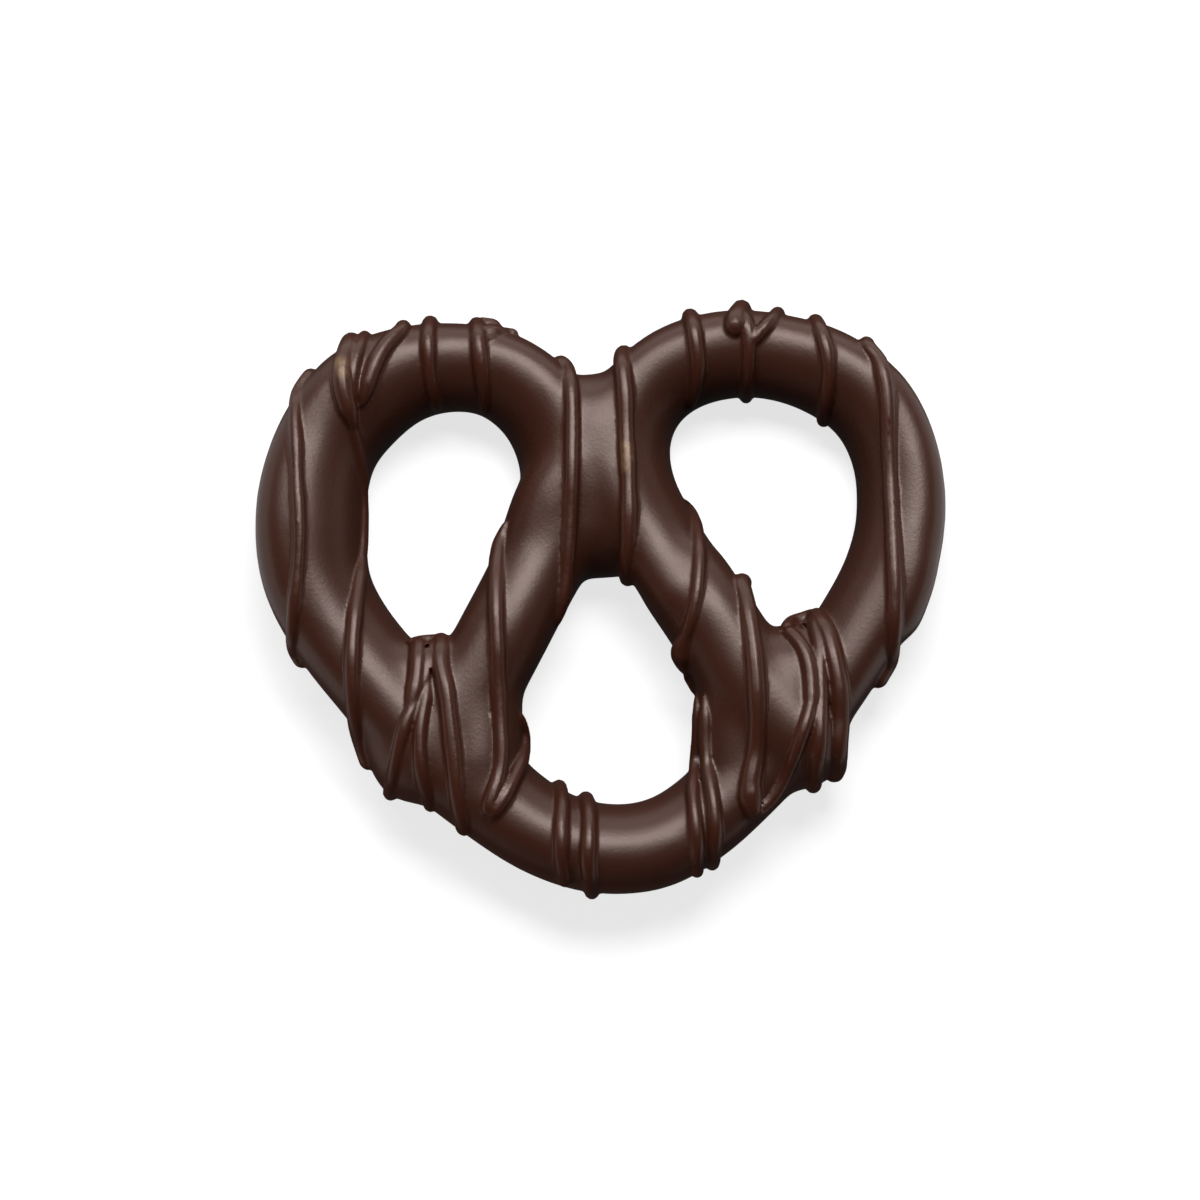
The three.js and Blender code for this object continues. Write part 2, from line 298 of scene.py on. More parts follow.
# %% Webs
WEBS = [
    # Notch between the lobes, the middle between the arms, and the arch under it
    ([(-1.7, 29.7, 9.8), (0.9, 29.7, 9.8)], 4.3),
    ([(-0.4, 26, 11.9), (-1.2, 23, 12.2), (-1.8, 18.5, 12), (-1.2, 14.2, 11.6), (-0.6, 11.6, 11.2)], 7.8),
    ([(-2.3, 8.5, 8.6), (2.6, 8.5, 8.6)], 4.8),
    # Thick of the left arm, where it leaves the middle
    ([(-8.6, 8.1, 12.1), (-6.4, 14.5, 12.7), (-3.4, 19, 12.6), (-1.7, 22.5, 12)], 6.2),
    # Feet of the left and right openings
    ([(-27.4, -13, 12.4), (-22, -13, 12.8)], 6.3),
    ([(25.4, -11.2, 11.6), (30, -9.2, 11.2)], 6.3),
    # Corners of the lower opening
    ([(-18.3, -16.5, 13.8), (-18.3, -26.5, 13.9)], 7.3),
    ([(20.6, -13.5, 13), (20.6, -25, 12)], 7),
    # Panels between the strands of the two joints
    ([(-21.6, -16.5, 14.1), (-20.1, -19.5, 14.1), (-19.7, -22, 13.8)], 8.7),
    ([(25.7, -18.5, 14.4), (26.4, -15, 14.2), (26.8, -13.3, 13.7)], 9),
    # Outsides of the left and right joints
    ([(-29.2, -18.5, 12.8), (-26.9, -24.3, 12.8)], 6.3),
    ([(29.8, -19.6, 12.6), (29, -22.4, 12.2)], 6.2),
    # Shoulder of the right lobe
    ([(42.6, -3, 12.2), (44.6, 2.5, 12.4), (45.3, 7, 12.1)], 4.2),
]
for number, (points, radius) in enumerate(WEBS):
    line = smooth_line([Vector((x, y, crest - radius)) * HUNDREDTH for x, y, crest in points], ROPE_STEP)
    stations = [(place + ROUTE_MIDDLE, radius * HUNDREDTH) for place in line]
    dough.append(extrude_rope(f"web_{number}", rounded(stations)))
print(len(WEBS), "webs")

# %% [markdown]
# ## Working on one object
# Most tools act on whatever is selected, so three helpers do what is done by hand from the menus: select one
# piece alone, add a modifier and apply it, and join several pieces into one.

# %% Object tools
def only(piece):
    """Selects one object and makes it active."""
    bpy.ops.object.select_all(action='DESELECT')
    piece.select_set(True)
    bpy.context.view_layer.objects.active = piece


def apply_modifier(piece, kind, **settings):
    """Adds a modifier with these settings and applies it."""
    only(piece)
    modifier = piece.modifiers.new(kind.title(), kind)
    for setting, value in settings.items():
        setattr(modifier, setting, value)
    bpy.ops.object.modifier_apply(modifier=modifier.name)


def join(pieces, name):
    """Joins pieces into the first one."""
    only(pieces[0])
    for piece in pieces:
        piece.select_set(True)
    bpy.ops.object.join()
    pieces[0].name = name
    return pieces[0]


# %% [markdown]
# ## The coat
# A dipped pretzel has no sharp corners: the chocolate rounds every crease. All the pieces are joined and
# remeshed with voxels, which keeps only the outside and closes it, and a smoothing pass then melts the
# creases. A gentle cloud pattern pushes the surface in and out by a fraction of a millimetre, because dough
# is never an even tube.

# %% Coat
COAT_VOXEL = 0.35 * MM
SMOOTHING = 0.5
COAT_PASSES = 85
LUMP_SIZE = 13 * MM
LUMP_DEPTH = 1
LUMP_HEIGHT = 0.22 * MM
LUMP_MIDDLE = 0.5

coat = join(dough, "coat")
apply_modifier(coat, 'REMESH', mode='VOXEL', voxel_size=COAT_VOXEL)
apply_modifier(coat, 'SMOOTH', factor=SMOOTHING, iterations=COAT_PASSES)
lumps = bpy.data.textures.new("lumps", 'CLOUDS')
lumps.noise_scale = LUMP_SIZE
lumps.noise_depth = LUMP_DEPTH
apply_modifier(
    coat, 'DISPLACE', texture=lumps, texture_coords='LOCAL', strength=LUMP_HEIGHT, mid_level=LUMP_MIDDLE)
print("the coat has", len(coat.data.polygons), "faces")

# %% [markdown]
# ## Finding the coat
# The drizzle was poured from above, so each strand follows the hills and valleys of the coat. A search tree
# of the coat's faces answers two questions: where does a line of sight meet the coat, and which point of the
# coat is nearest. The second is for a strand that hangs over an edge, where a line of sight just misses the
# coat, and for the drip that runs on down the side from there.

# %% Sight lines
RIM_LEVELS = [level * MM for level in range(1, 11)]
DRIP_STEP = 0.3 * MM
DRIP_FLOOR = 1.2 * MM
DRIP_PULL = Vector((0, 0, -0.4))

coat_tree = BVHTree.FromPolygons(
    [vertex.co for vertex in coat.data.vertices], [face.vertices for face in coat.data.polygons])


def sight_line(pixel):
    """The direction from the eye through a pixel of the picture."""
    across = (pixel.x - PICTURE_PIXELS / 2) * PIXEL
    up = (PICTURE_PIXELS / 2 - pixel.y) * PIXEL
    return (view_target + view_right * across + view_up * up - view_eye).normalized()


def on_coat(pixel):
    """The point of the coat seen at a pixel of the picture, and the way the coat faces there."""
    sight = sight_line(pixel)
    place, facing, _, _ = coat_tree.ray_cast(view_eye, sight)
    if place is None:
        beside = [view_eye + sight * ((level - view_eye.z) / sight.z) for level in RIM_LEVELS]
        nearest = [coat_tree.find_nearest(spot) for spot in beside]
        place, facing, _, _ = min(nearest, key=lambda found: found[3])
    return place, facing


def run_over(place, ahead, length):
    """Points that carry a strand on over the edge of the coat, pulled down more and more as it goes."""
    points = []
    while len(points) * DRIP_STEP < length and place.z > DRIP_FLOOR:
        ahead = (ahead.normalized() + DRIP_PULL).normalized()
        further, facing, _, _ = coat_tree.find_nearest(place + ahead * DRIP_STEP)
        ahead = further - place
        place = further
        points.append((place, facing))
    return points


print("the search tree holds", len(coat.data.polygons), "faces")

# %% [markdown]
# ## The drizzle
# A strand could be modelled as a tube, but real drizzle swells and thins as it is poured. Here a single
# vertex is extruded along the strand's line, the line is turned into a curve whose points each carry their
# own radius, and the curve is given a round bevel. Noise that depends only on the place makes the width
# uneven in the same way every time. A strand's middle lies just above the coat, so about half of it is sunk.

# %% Drizzle tool
STRAND_STEP = 0.35 * MM
STRAND_RISE = 0.08
STRAND_UNEVENNESS = 0.14
UNEVENNESS_SIZE = 3.5 * MM
LEAST_STEP = 0.3 * STRAND_STEP
FAR_RUN = 2.2 * MM
SHORT_DRIP = 0.8 * MM
LONG_DRIP = 1.6 * MM
SETTLING = 5
END_REACH = {'rim': 3, 'thin': 14, 'tip': 8, 'blunt': 3, 'join': 1}
END_SHARE = 0.4
BEVEL_STEPS = 3


def strand_line(pixels):
    """The strand's places on the coat, from its pixels, evened out a little."""
    seen = smooth_line([Vector((x, y, 0)) for x, y in pixels], STRAND_STEP / PIXEL)
    line = [on_coat(pixel) for pixel in seen]
    kept = [line[0]]
    for place, facing in line[1:]:
        if (place - kept[-1][0]).length > LEAST_STEP:
            kept.append((place, facing))
    return kept


def settled(spots):
    """The same spots with small kinks drawn straight, as a falling strand would be."""
    for _ in range(SETTLING):
        inner = [0.25 * a + 0.5 * b + 0.25 * c for a, b, c in zip(spots, spots[1:], spots[2:])]
        spots = [spots[0], *inner, spots[-1]]
    return spots


def lay_strand(name, width, pixels, start='rim', end='rim', drip=SHORT_DRIP, rise=STRAND_RISE):
    """One strand of drizzle: its width in millimetres, the pixels it passes, how each end finishes, how far
    its last end runs on over the edge, and the share of its radius that its middle stands up."""
    line = strand_line(pixels)
    if start == 'rim':
        line = run_over(line[0][0], line[0][0] - line[2][0], FAR_RUN)[::-1] + line
    if end in ('rim', 'thin'):
        line = line + run_over(line[-1][0], line[-1][0] - line[-3][0], drip)
    radius = width * MM / 2
    spots = settled([place + facing * radius * rise for place, facing in line])
    radii = []
    for number, spot in enumerate(spots):
        unevenness = 1 + STRAND_UNEVENNESS * noise.noise(spot / UNEVENNESS_SIZE)
        from_start = (number + END_SHARE) / END_REACH[start]
        from_end = (len(spots) - (1 - END_SHARE) - number) / END_REACH[end]
        radii.append(radius * unevenness * min(1, from_start, from_end) ** 0.5)
    return draw_strand(name, spots, radii)


def draw_strand(name, spots, radii):
    """A round strand through the spots, with a radius at each."""
    bpy.ops.object.select_all(action='DESELECT')
    bpy.ops.mesh.primitive_plane_add(size=MM, location=spots[0])
    strand = bpy.context.object
    strand.name = name
    bpy.ops.object.transform_apply(location=True, rotation=True, scale=True)
    bpy.ops.object.mode_set(mode='EDIT')
    bpy.ops.mesh.select_all(action='SELECT')
    bpy.ops.mesh.merge(type='CENTER')
    for here, there in zip(spots, spots[1:]):
        bpy.ops.mesh.extrude_region_move(TRANSFORM_OT_translate={"value": there - here})
    bpy.ops.object.mode_set(mode='OBJECT')
    bpy.ops.object.convert(target='CURVE')
    spline = strand.data.splines[0]
    backwards = (spline.points[0].co.xyz - spots[0]).length > (spline.points[-1].co.xyz - spots[0]).length
    for point, radius in zip(spline.points, reversed(radii) if backwards else radii):
        point.radius = radius / MM
    strand.data.bevel_depth = MM
    strand.data.bevel_resolution = BEVEL_STEPS
    strand.data.use_fill_caps = True
    bpy.ops.object.convert(target='MESH')
    return strand


print("a strand has a point every", round(STRAND_STEP / MM, 2), "mm")

# %% [markdown]
# ## Drizzle on the left lobe
# Each row gives a strand's width in millimetres and the pixels that it passes in the picture. A strand that
# ends at a rim runs a little way down the side, as a bead of chocolate does before it sets, or grows thin
# there. One that ends as a tip thins out on the coat, a blunt one ends in a drop, and one that joins another
# simply stops inside it. The last two values, where given, are how far it drips and how far its middle stands
# up, as a share of its radius: below zero, the strand is sunk by more than half.

# %% Left lobe
LEFT_LOBE = [
    ("outer_left", 1.54, [
        (304, 377), (298, 390), (295, 413), (296, 445), (297, 485), (299, 524), (299, 547), (297, 580),
        (294, 612), (293, 640), (296, 664)]),
    ("inner_left_pool", 2.31, [
        (351, 344), (345, 357), (342, 378), (345, 400), (350, 416), (354, 432)], 'rim', 'tip'),
    ("inner_left_edge", 1.65, [
        (345, 400), (350, 416), (354, 432), (359, 452), (363, 480), (364, 510), (363, 545), (360, 575),
        (356, 600)], 'join', 'tip', 0, -0.3),
    ("inner_left", 1.76, [
        (362, 552), (359, 580), (355, 612), (352, 655), (353, 698), (357, 726), (363, 749),
        (368, 762)], 'tip'),
    ("fork_left", 1.43, [(364, 338), (359, 349), (354, 368), (353, 385), (356, 398)], 'rim', 'tip'),
    ("fork_right", 1.98, [
        (399, 334), (389, 342), (379, 356), (371, 375), (365, 393), (361, 407)], 'rim', 'tip'),
    ("left_lobe_first", 1.76, [
        (430, 322), (428, 336), (428, 353), (429, 374), (433, 393), (436, 404)], 'rim', 'thin', LONG_DRIP),
    ("left_lobe_second", 1.87, [
        (477, 322), (478, 336), (480, 358), (483, 384), (486, 408)], 'rim', 'thin', LONG_DRIP),
    ("flake_top", 1.87, [(478, 322), (487, 321), (495, 322), (502, 326)], 'join', 'blunt', 0, 0.1),
    ("flake_middle", 1.98, [
        (480, 332), (490, 331), (500, 331), (509, 332), (517, 335)], 'join', 'tip', 0, -0.3),
    ("flake_foot", 1.54, [(482, 338), (489, 338), (496, 336), (503, 333)], 'join', 'tip', 0, -0.4),
    ("flake_end", 1.54, [(500, 329), (507, 329), (513, 331), (518, 335)], 'tip', 'blunt', 0, 0.05),
]
drizzle = [lay_strand(*row) for row in LEFT_LOBE]
print(len(drizzle), "strands on the left lobe")

# %% [markdown]
# ## Drizzle down the middle
# Two strands run down the middle, one along each arm, and a third crosses the right arm and gathers into a
# fat drop on the edge of the lower opening.

# %% Middle
MIDDLE = [
    ("middle_left", 1.76, [
        (567, 363), (570, 381), (572, 408), (572, 449), (571, 490), (569, 531), (566, 572), (561, 604),
        (556, 626)], 'rim', 'tip'),
    ("middle_right", 1.98, [
        (621, 351), (623, 370), (625, 394), (626, 435), (628, 476), (629, 517), (628, 552), (627, 570),
        (629, 582)], 'rim', 'rim', 0.4 * MM),
    ("arm_crossing", 1.43, [
        (684, 500), (690, 508), (695, 521), (699, 545), (699, 572), (696, 600), (690, 626), (683, 645)],
        'tip', 'join'),
    ("edge_drop", 2.86, [(688, 632), (683, 647), (684, 660), (688, 673)], 'tip', 'tip'),
    ("edge_bead", 1.65, [(684, 664), (687, 679), (692, 694)], 'tip', 'tip'),
]
drizzle += [lay_strand(*row) for row in MIDDLE]
print(len(drizzle), "strands so far")

# %% [markdown]
# ## Drizzle on the right lobe
# A loose loop of drizzle fell on the top of this lobe and closed into a bulb, with a side branch.

# %% Right lobe
RIGHT_LOBE = [
    ("right_lobe_first", 1.87, [
        (691, 318), (694, 330), (696, 346), (698, 366), (695, 386), (690, 402)], 'rim', 'thin', LONG_DRIP),
    ("loop_left", 2.42, [(740, 311), (735, 319), (735, 328), (738, 336)], 'rim', 'blunt'),
    ("loop_right", 1.65, [(741, 312), (747, 324), (749, 346), (748, 374), (746, 399)], 'join'),
    ("loop_branch", 1.54, [(777, 313), (769, 323), (758, 335), (750, 343)], 'rim', 'join'),
    ("right_lobe_second", 1.76, [(816, 322), (823, 337), (828, 358), (829, 380), (826, 403), (824, 420)]),
    ("outer_right", 1.87, [
        (869, 350), (878, 360), (885, 382), (888, 411), (889, 445), (891, 487), (893, 529), (894, 560),
        (895, 590), (894, 620), (892, 648), (888, 669), (883, 683)]),
]
drizzle += [lay_strand(*row) for row in RIGHT_LOBE]
print(len(drizzle), "strands so far")

# %% [markdown]
# ## Drizzle on the right joint
# Here the poured line turned back on itself. It comes down the arm, makes a tight turn near the bottom edge
# and climbs again, and a curl at the foot of the opening leaves a small pit open.

# %% Right joint
RIGHT_JOINT = [
    ("right_arm", 2.2, [
        (741, 587), (745, 600), (750, 626), (754, 655), (757, 696), (758, 730), (756, 755), (751, 780),
        (748, 800), (750, 812)], 'rim', 'blunt'),
    ("turn_bead", 2.53, [(755, 770), (751, 787), (750, 802), (754, 812), (759, 808)], 'tip', 'blunt'),
    ("return_band", 1.54, [
        (756, 813), (768, 803), (781, 785), (793, 760), (802, 735), (809, 712), (812, 692)], 'join', 'join'),
    ("curl", 1.65, [(786, 632), (791, 621), (800, 614), (811, 613), (820, 620)], 'join', 'join'),
    ("curl_foot", 1.87, [
        (787, 632), (797, 641), (806, 656), (810, 676), (811, 700), (809, 722)], 'join', 'tip'),
    ("joint_right_first", 1.87, [
        (814, 620), (819, 645), (820, 680), (820, 713), (818, 750), (813, 786)], 'join'),
    ("joint_right_second", 2.31, [
        (815, 615), (827, 634), (834, 660), (839, 690), (839, 722), (837, 752), (836, 776)], 'join'),
]
drizzle += [lay_strand(*row) for row in RIGHT_JOINT]
print(len(drizzle), "strands so far")

# %% [markdown]
# ## Drizzle on the left joint
# Several strands meet over the left joint like the ribs of a fan. They bridge the foot of the opening with
# a lip of chocolate, and two long ones meet in a point on the bottom of the loop.

# %% Left joint
FAN_RISE = -0.12

LEFT_JOINT = [
    ("bridge", 1.54, [(408, 646), (418, 643), (430, 642), (444, 641)], 'join', 'join'),
    ("fan_fill", 2.09, [(419, 644), (418, 666), (415, 690), (408, 712)], 'join', 'tip'),
    ("fan_first", 1.54, [
        (431, 655), (424, 682), (414, 705), (406, 722), (399, 748), (393, 775),
        (387, 799)], 'rim', 'rim', SHORT_DRIP, FAN_RISE),
    ("fan_second", 1.65, [
        (429, 676), (425, 700), (420, 730), (420, 760), (424, 785),
        (430, 807)], 'tip', 'rim', SHORT_DRIP, FAN_RISE),
    ("fan_third", 2.09, [
        (441, 644), (440, 662), (446, 690), (450, 725), (454, 760), (457, 795),
        (464, 829)], 'rim', 'rim', SHORT_DRIP, FAN_RISE),
    ("left_arm", 1.87, [
        (508, 521), (503, 536), (498, 557), (496, 602), (497, 643), (498, 685), (500, 726), (501, 760),
        (497, 782), (491, 800), (486, 816)], 'tip', 'blunt'),
    ("left_arm_edge", 1.76, [
        (519, 712), (523, 735), (522, 757), (513, 780), (501, 803), (489, 818)], 'tip', 'blunt'),
]
drizzle += [lay_strand(*row) for row in LEFT_JOINT]
print(len(drizzle), "strands so far")

# %% [markdown]
# ## Drizzle on the bottom of the loop
# Two pairs of strands cross the bottom. The right pair starts on the inner edge and crosses over itself.

# %% Bottom
BOTTOM = [
    ("bottom_first", 1.76, [(560, 786), (562, 804), (561, 830), (562, 862), (565, 880)]),
    ("bottom_second", 1.87, [(586, 799), (589, 816), (589, 840), (588, 862), (592, 893)]),
    ("bottom_third", 1.54, [
        (697, 694), (699, 715), (699, 740), (696, 765), (693, 790), (695, 818), (697, 846),
        (697, 872)], 'tip'),
    ("bottom_fourth", 1.65, [
        (705, 694), (706, 718), (706, 742), (708, 770), (713, 800), (715, 832), (713, 866)], 'tip'),
]
drizzle += [lay_strand(*row) for row in BOTTOM]
print(len(drizzle), "strands in all")

# %% [markdown]
# ## Melting the drizzle into the coat
# Freshly poured chocolate melts into the coat it lands on. Coat and strands are joined and remeshed with
# finer voxels, and a short smoothing pass turns the sharp line between them into a small fillet.

# %% Melt
FINE_VOXEL = 0.17 * MM
MELT_PASSES = 4

pretzel = join([coat, *drizzle], "chocolate_pretzel")
apply_modifier(pretzel, 'REMESH', mode='VOXEL', voxel_size=FINE_VOXEL)
apply_modifier(pretzel, 'SMOOTH', factor=SMOOTHING, iterations=MELT_PASSES)
print("fused into", len(pretzel.data.polygons), "faces")

# %% [markdown]
# ## The underside and the pits
# The chocolate sets on a flat tray, so everything below the table is cut away with a block. A few narrow pits
# stay open between the strands. A pit could be left by placing the strands apart, but melting closes so small
# a gap, so each is cut with a stretched ball that points along the line of sight.

# %% Pits
BALL_SEGMENTS = 16
BALL_RINGS = 12
PITS = [
    # In the curl of the right joint: the pixel, half the width and length, the depth and the slant
    ((803, 625), 0.34 * MM, 0.95 * MM, 0.75 * MM, math.radians(36)),
    # In the bridge of the left joint, and where the fan opens below it
    ((427, 646), 0.2 * MM, 0.3 * MM, 0.6 * MM, math.radians(-45)),
    ((431, 673), 0.13 * MM, 0.6 * MM, 0.45 * MM, 0),
]
fused_tree = BVHTree.FromPolygons(
    [vertex.co for vertex in pretzel.data.vertices], [face.vertices for face in pretzel.data.polygons])
bpy.ops.object.select_all(action='DESELECT')
bpy.ops.mesh.primitive_cube_add(size=2 * WIDTH, location=(0, 0, -WIDTH))
cutters = [bpy.context.object]
for pixel, half_width, half_length, depth, slant in PITS:
    place, _, _, _ = fused_tree.ray_cast(view_eye, sight_line(Vector((*pixel, 0))))
    facing = camera.rotation_euler.to_matrix() @ Euler((0, 0, slant)).to_matrix()
    bpy.ops.object.select_all(action='DESELECT')
    bpy.ops.mesh.primitive_uv_sphere_add(
        segments=BALL_SEGMENTS, ring_count=BALL_RINGS, radius=1,
        location=place, rotation=facing.to_euler())
    bpy.context.object.scale = (half_width, half_length, depth)
    bpy.ops.object.transform_apply(location=True, rotation=True, scale=True)
    cutters.append(bpy.context.object)
for cutter in cutters:
    apply_modifier(pretzel, 'BOOLEAN', operation='DIFFERENCE', object=cutter, solver='MANIFOLD')
    bpy.data.objects.remove(cutter)
print("cut the underside and", len(PITS), "pits")

# %% [markdown]
# ## A lighter, cleaner mesh
# The voxels are as small on a plain stretch as on a strand. Decimating merges faces where the surface is
# plain and keeps them where it bends. A bubble that was closed in between a strand and the coat can't be
# seen, and is deleted: all that isn't linked to the highest point.

# %% Clean mesh
MOST_TRIANGLES = 190000

apply_modifier(pretzel, 'TRIANGULATE')
apply_modifier(pretzel, 'DECIMATE', ratio=min(1, MOST_TRIANGLES / len(pretzel.data.polygons)))
bpy.ops.object.mode_set(mode='EDIT')
bpy.ops.mesh.select_all(action='DESELECT')
bpy.ops.object.mode_set(mode='OBJECT')
highest = max(pretzel.data.vertices, key=lambda vertex: vertex.co.z)
highest.select = True
bpy.ops.object.mode_set(mode='EDIT')
bpy.ops.mesh.select_linked()
bpy.ops.mesh.select_all(action='INVERT')
bpy.ops.mesh.delete(type='VERT')
bpy.ops.object.mode_set(mode='OBJECT')
bpy.ops.object.shade_smooth()
print("the pretzel has", len(pretzel.data.polygons), "triangles")

# %% [markdown]
# ## What the material needs to know
# How far each point stands above the bare coat is kept as an attribute of the mesh, so the material can tell
# drizzle from coat. A second attribute marks a few spots on the crests of two strands, where flecks of pale
# gold are painted that fade out over each spot's reach.

# %% Attributes
DRIZZLE_FROM = 0.05 * MM
DRIZZLE_FULL = 0.3 * MM
GOLD_SPOTS = [
    # On the fork of the left lobe, and on the strand right of the middle: the pixel and the reach
    ((340, 362), 1.2 * MM), ((342, 372), 1 * MM),
    ((626, 446), 0.8 * MM), ((627, 456), 0.9 * MM), ((626, 466), 0.7 * MM),
]

heights = [coat_tree.find_nearest(vertex.co)[3] for vertex in pretzel.data.vertices]
shares = [min(max((height - DRIZZLE_FROM) / (DRIZZLE_FULL - DRIZZLE_FROM), 0), 1) for height in heights]
pretzel.data.attributes.new("drizzle", 'FLOAT', 'POINT').data.foreach_set("value", shares)
# Pale golden flecks are painted around each of these spots, fading out over its reach.
spot_places = []
for pixel, reach in GOLD_SPOTS:
    place, _, _, _ = fused_tree.ray_cast(view_eye, sight_line(Vector((*pixel, 0))))
    spot_places.append((place, reach))
gold_fleck_share = []
for vertex in pretzel.data.vertices:
    gold_fleck_share.append(max(0, *(1 - (vertex.co - place).length / reach for place, reach in spot_places)))
pretzel.data.attributes.new("gold_fleck_share", 'FLOAT', 'POINT').data.foreach_set("value", gold_fleck_share)
print("strands stand up to", round(max(heights) / MM, 2), "mm proud of the coat")

# %% [markdown]
# ## The chocolate
# Dark chocolate is a deep, slightly red brown under a soft satin gloss. The material is built from a few
# kinds of node, so each kind gets a helper. Every pattern is worked out from the piece's own coordinates, so
# it stays put in every view.

# %% Material
REFRACTION = 1.5
SHEEN_TINT = (1, 0.83, 0.77, 1)
EVEN_DETAIL = 0.5

material = bpy.data.materials.new("dark_chocolate")
material.use_nodes = True
nodes = material.node_tree.nodes
links = material.node_tree.links
shader = nodes["Principled BSDF"]
shader.inputs["IOR"].default_value = REFRACTION
shader.inputs["Specular Tint"].default_value = SHEEN_TINT
places = nodes.new("ShaderNodeTexCoord")


def add_noise(scale, detail, roughness=EVEN_DETAIL):
    """A noise pattern with so many patches to the metre."""
    pattern = nodes.new("ShaderNodeTexNoise")
    pattern.inputs["Scale"].default_value = scale
    pattern.inputs["Detail"].default_value = detail
    pattern.inputs["Roughness"].default_value = roughness
    links.new(places.outputs["Object"], pattern.inputs["Vector"])
    return pattern.outputs["Fac"]


def add_attribute(name):
    """The value of one of the mesh's own attributes."""
    attribute = nodes.new("ShaderNodeAttribute")
    attribute.attribute_name = name
    return attribute.outputs["Fac"]


def add_mix(share, first, second):
    """A colour that goes from the first to the second with the share. The first may come from a node."""
    mix = nodes.new("ShaderNodeMix")
    mix.data_type = 'RGBA'
    links.new(share, mix.inputs["Factor"])
    if isinstance(first, tuple):
        mix.inputs["A"].default_value = first
    else:
        links.new(first, mix.inputs["A"])
    mix.inputs["B"].default_value = second
    return mix.outputs["Result"]


pretzel.data.materials.clear()
pretzel.data.materials.append(material)
print("material:", pretzel.data.materials[0].name)

# %% [markdown]
# ## Colour
# Broad noise varies the brown of the coat, as cocoa butter does when it sets unevenly. The drizzle is a shade
# redder. Around a few marked spots on the crests, fine flecks of pale gold are painted.

# %% Colour
COAT_BROWN = (0.031, 0.0090, 0.0047, 1)
COAT_BROWN_PALE = (0.041, 0.0122, 0.0066, 1)
DRIZZLE_BROWN = (0.038, 0.0100, 0.0047, 1)
# The pale gold that is painted in flecks around a few marked spots on the crests.
SPOT_GOLD = (0.26, 0.165, 0.075, 1)
BLOOM_SCALE = 110
BLOOM_DETAIL = 3
FLECK_SCALE = 1500
FLECK_DETAIL = 2

drizzle_share = add_attribute("drizzle")
coat_colour = add_mix(add_noise(BLOOM_SCALE, BLOOM_DETAIL), COAT_BROWN, COAT_BROWN_PALE)
colour = add_mix(drizzle_share, coat_colour, DRIZZLE_BROWN)
# Pale golden flecks painted around the marked spots, broken up by fine noise.
gold_flecks = nodes.new("ShaderNodeMath")
gold_flecks.operation = 'MULTIPLY'
links.new(add_attribute("gold_fleck_share"), gold_flecks.inputs[0])
links.new(add_noise(FLECK_SCALE, FLECK_DETAIL), gold_flecks.inputs[1])
flecked_colour = add_mix(gold_flecks.outputs["Value"], colour, SPOT_GOLD)
links.new(flecked_colour, shader.inputs["Base Color"])
print("the colour is mixed by", len(nodes), "nodes")

# %% [markdown]
# ## Gloss
# The coat cooled slowly and is a little duller, and the drizzle was poured last and shines a little more. A
# fine grain makes the gloss uneven, and the same grain, as a faint bump, breaks up the reflections.

# %% Gloss
COAT_ROUGHNESS = 0.37
DRIZZLE_ROUGHNESS = 0.35
GRAIN_SCALE = 2400
GRAIN_DETAIL = 3
GRAIN_FINENESS = 0.6
GRAIN_ROUGHNESS = 0.06
GRAIN_BUMP = 0.1
GRAIN_HEIGHT = 0.2 * MM

gloss = nodes.new("ShaderNodeMapRange")
gloss.inputs["To Min"].default_value = COAT_ROUGHNESS
gloss.inputs["To Max"].default_value = DRIZZLE_ROUGHNESS
links.new(drizzle_share, gloss.inputs["Value"])
grain = add_noise(GRAIN_SCALE, GRAIN_DETAIL, GRAIN_FINENESS)
roughness = nodes.new("ShaderNodeMath")
roughness.operation = 'MULTIPLY_ADD'
roughness.inputs[1].default_value = GRAIN_ROUGHNESS
links.new(grain, roughness.inputs[0])
links.new(gloss.outputs["Result"], roughness.inputs[2])
links.new(roughness.outputs["Value"], shader.inputs["Roughness"])
bump = nodes.new("ShaderNodeBump")
bump.inputs["Strength"].default_value = GRAIN_BUMP
bump.inputs["Distance"].default_value = GRAIN_HEIGHT
links.new(grain, bump.inputs["Height"])
links.new(bump.outputs["Normal"], shader.inputs["Normal"])
print("the material has", len(nodes), "nodes")

# %% [markdown]
# ## The table
# The pretzel lies on a plain white table that glows a little, as a lit sheet of paper does. The table is
# hidden from reflections and from the light that bounces, because a chocolate that mirrors so much white
# would look grey.

# %% Table
TABLE_SIDE = 3
TABLE_GREY = (0.3, 0.3, 0.3, 1)
TABLE_ROUGHNESS = 0.8
TABLE_GLOW = 0.75
WHITE = (1, 1, 1, 1)

bpy.ops.object.select_all(action='DESELECT')
bpy.ops.mesh.primitive_plane_add(size=TABLE_SIDE, location=(0, 0, 0))
table = bpy.context.object
table.name = "table"
table.visible_glossy = False
table.visible_diffuse = False
white = bpy.data.materials.new("white_table")
white.use_nodes = True
paper = white.node_tree.nodes["Principled BSDF"]
paper.inputs["Base Color"].default_value = TABLE_GREY
paper.inputs["Roughness"].default_value = TABLE_ROUGHNESS
paper.inputs["Emission Color"].default_value = WHITE
paper.inputs["Emission Strength"].default_value = TABLE_GLOW
table.data.materials.append(white)
print("a table", TABLE_SIDE, "m square")

# %% [markdown]
# ## The studio lights
# A large soft light hangs behind the pretzel and a little to the right, with a weaker wing on its left, so
# every horizontal stretch of rope shines along its upper side. Low cards around the table edge the rims, two
# sheets on the table light the sides from below as white paper would, and a fill from the front keeps the
# dark sides brown. The fill and the sheets would look odd as mirrored shapes or in the picture, so the fill
# is hidden from reflections and the sheets from the camera.

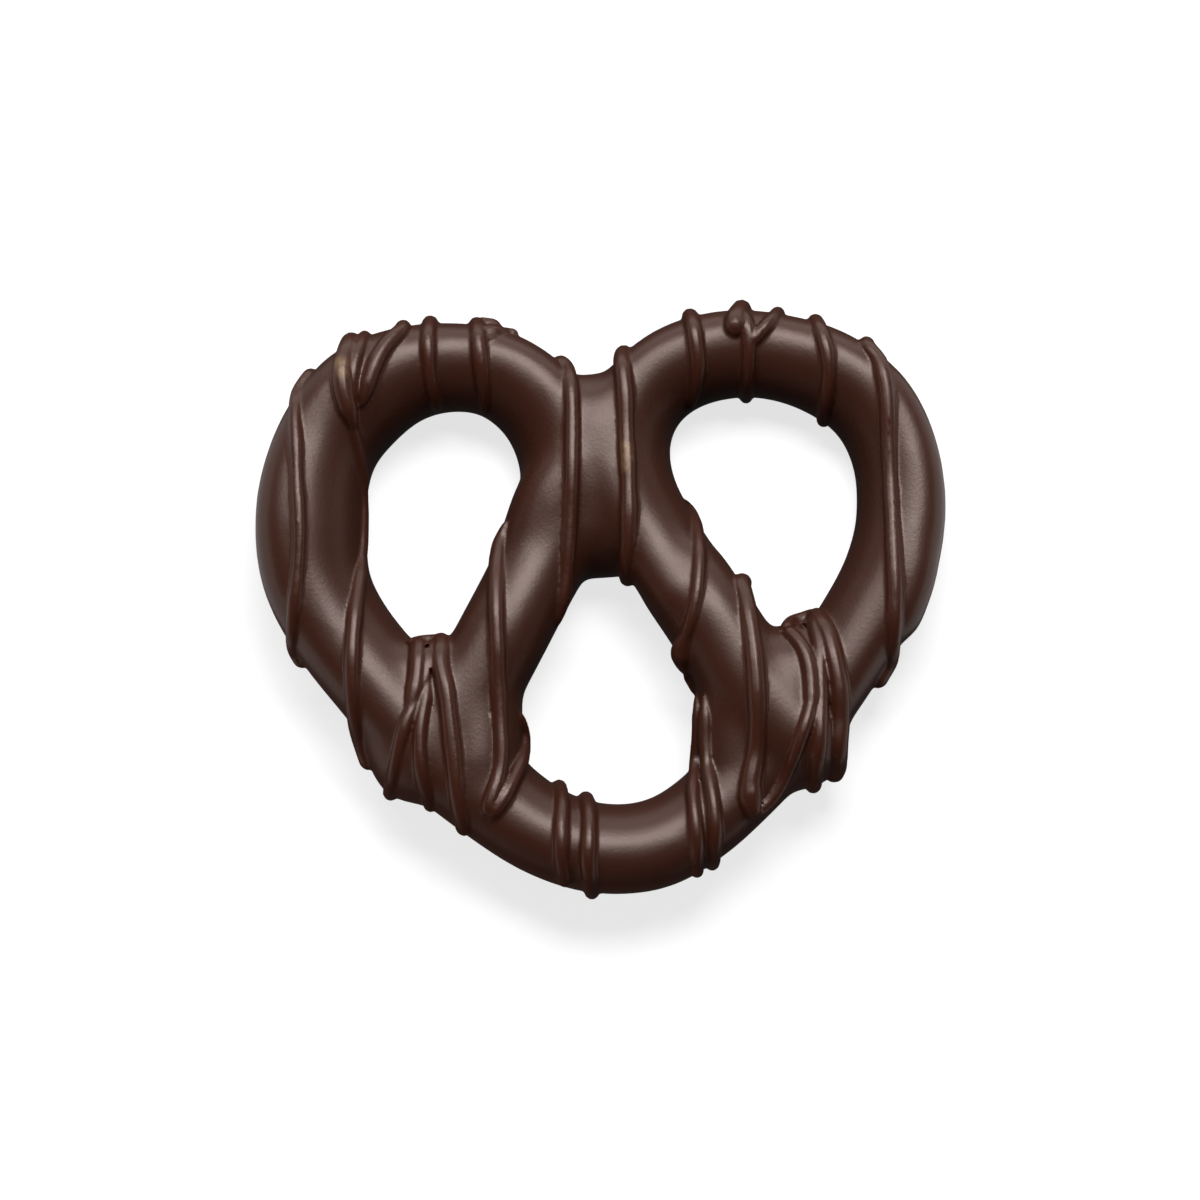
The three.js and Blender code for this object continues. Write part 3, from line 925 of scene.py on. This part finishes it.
# %% Lights
SHEET_HEIGHT = 1 * MM
LIGHTS = [
    # Name, place, width and height in metres, and brightness
    ("main_light", (0.09, 0.38, 0.575), 0.43, 0.3, 13.6),
    ("left_wing", (-0.29, 0.46, 0.58), 0.28, 0.28, 6.5),
    ("left_card", (-0.6, 0.05, 0.055), 1, 0.11, 1.4),
    ("right_card", (0.6, 0.05, 0.055), 1, 0.11, 1.4),
    ("back_card", (0, 0.65, 0.1), 1, 0.2, 2.4),
    ("left_sheet", (-0.14, 0, SHEET_HEIGHT), 0.2, 0.3, 0.6),
    ("right_sheet", (0.14, 0, SHEET_HEIGHT), 0.2, 0.3, 0.8),
    ("front_fill", (-0.36, -0.55, 0.13), 0.8, 0.26, 3.4),
]


def soft_light(name, place, width, height, brightness):
    """A rectangular soft light that faces the pretzel, as bright as a white sheet that shines this much."""
    bpy.ops.object.select_all(action='DESELECT')
    facing = (view_target - Vector(place)).to_track_quat('-Z', 'Y').to_euler()
    bpy.ops.object.light_add(type='AREA', location=place, rotation=facing)
    light = bpy.context.object
    light.name = name
    light.data.shape = 'RECTANGLE'
    light.data.size = width
    light.data.size_y = height
    light.data.energy = brightness * math.pi * width * height
    return light


lights = {row[0]: soft_light(*row) for row in LIGHTS}
for name in ("left_sheet", "right_sheet"):
    lights[name].rotation_euler = (math.pi, 0, 0)
    lights[name].visible_camera = False
lights["front_fill"].visible_glossy = False
print("lights:", list(lights))

# %% [markdown]
# ## The room
# The rest of the room is nearly dark. A faint glow comes from it, a little stronger from below than from
# above, so that no side of the chocolate turns quite black.

# %% Room
HORIZON = 0.1
GLOW_BELOW = 0.05
GLOW_ABOVE = 0.015

world = bpy.data.worlds.new("studio")
bpy.context.scene.world = world
world.use_nodes = True
room = world.node_tree.nodes
background = room["Background"]
background.inputs["Color"].default_value = WHITE
directions = room.new("ShaderNodeTexCoord")
upward = room.new("ShaderNodeSeparateXYZ")
room_glow = room.new("ShaderNodeMapRange")
room_glow.inputs["From Min"].default_value = -HORIZON
room_glow.inputs["From Max"].default_value = HORIZON
room_glow.inputs["To Min"].default_value = GLOW_BELOW
room_glow.inputs["To Max"].default_value = GLOW_ABOVE
world.node_tree.links.new(directions.outputs["Generated"], upward.inputs["Vector"])
world.node_tree.links.new(upward.outputs["Z"], room_glow.inputs["Value"])
world.node_tree.links.new(room_glow.outputs["Result"], background.inputs["Strength"])
bpy.context.scene.view_settings.view_transform = 'Standard'
print("the room glows with", GLOW_BELOW, "from below and", GLOW_ABOVE, "from above")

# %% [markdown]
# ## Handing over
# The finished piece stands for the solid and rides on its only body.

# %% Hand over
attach(pretzel, "root")
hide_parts("coated_pretzel")
